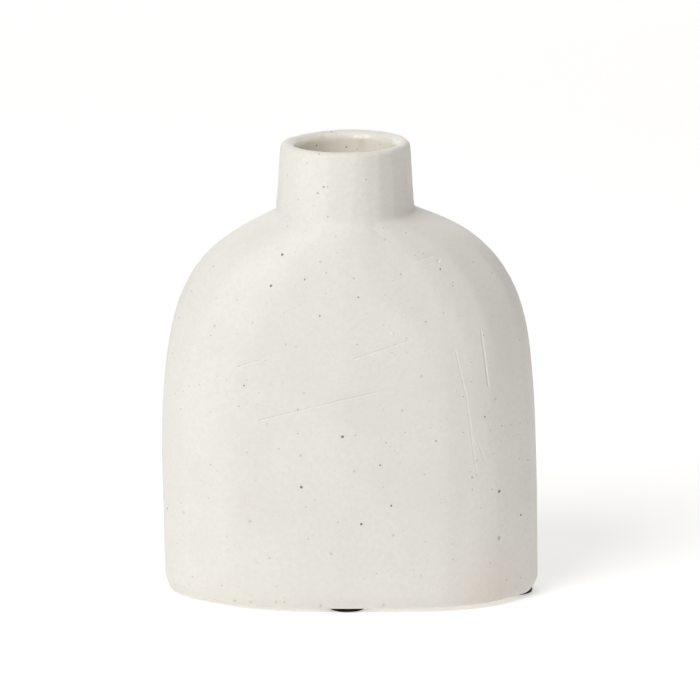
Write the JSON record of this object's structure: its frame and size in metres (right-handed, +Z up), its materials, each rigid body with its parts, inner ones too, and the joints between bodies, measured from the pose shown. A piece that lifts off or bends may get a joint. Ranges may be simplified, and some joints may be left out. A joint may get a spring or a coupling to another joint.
{
  "type": "bud vase",
  "caption": "Hollow ceramic bud vase with a flattened oval body, domed shoulder, short round neck and stick-on rubber pads under its base.",
  "frame": {"origin": "on the table, under the centre of the vase, at the underside of the foot pads", "axes": "+Z up through the mouth, +X along the wide side of the oval body, -Y to the front"},
  "size_m": [0.1008, 0.054, 0.124],
  "materials": {
    "stoneware": "matte off-white with fine dark specks outside, clear gloss glaze inside",
    "pad_rubber": "matte moulded rubber",
    "pad_adhesive": "thin clear acrylic film, dark where it lies on the rubber"
  },
  "bodies": {
    "root": {"vase_body": "stoneware", "foot_pad_front": "pad_rubber", "foot_pad_right": "pad_rubber", "foot_pad_back": "pad_rubber", "foot_pad_left": "pad_rubber", "pad_adhesive_front": "pad_adhesive", "pad_adhesive_right": "pad_adhesive", "pad_adhesive_back": "pad_adhesive", "pad_adhesive_left": "pad_adhesive"}
  },
  "joints": []
}
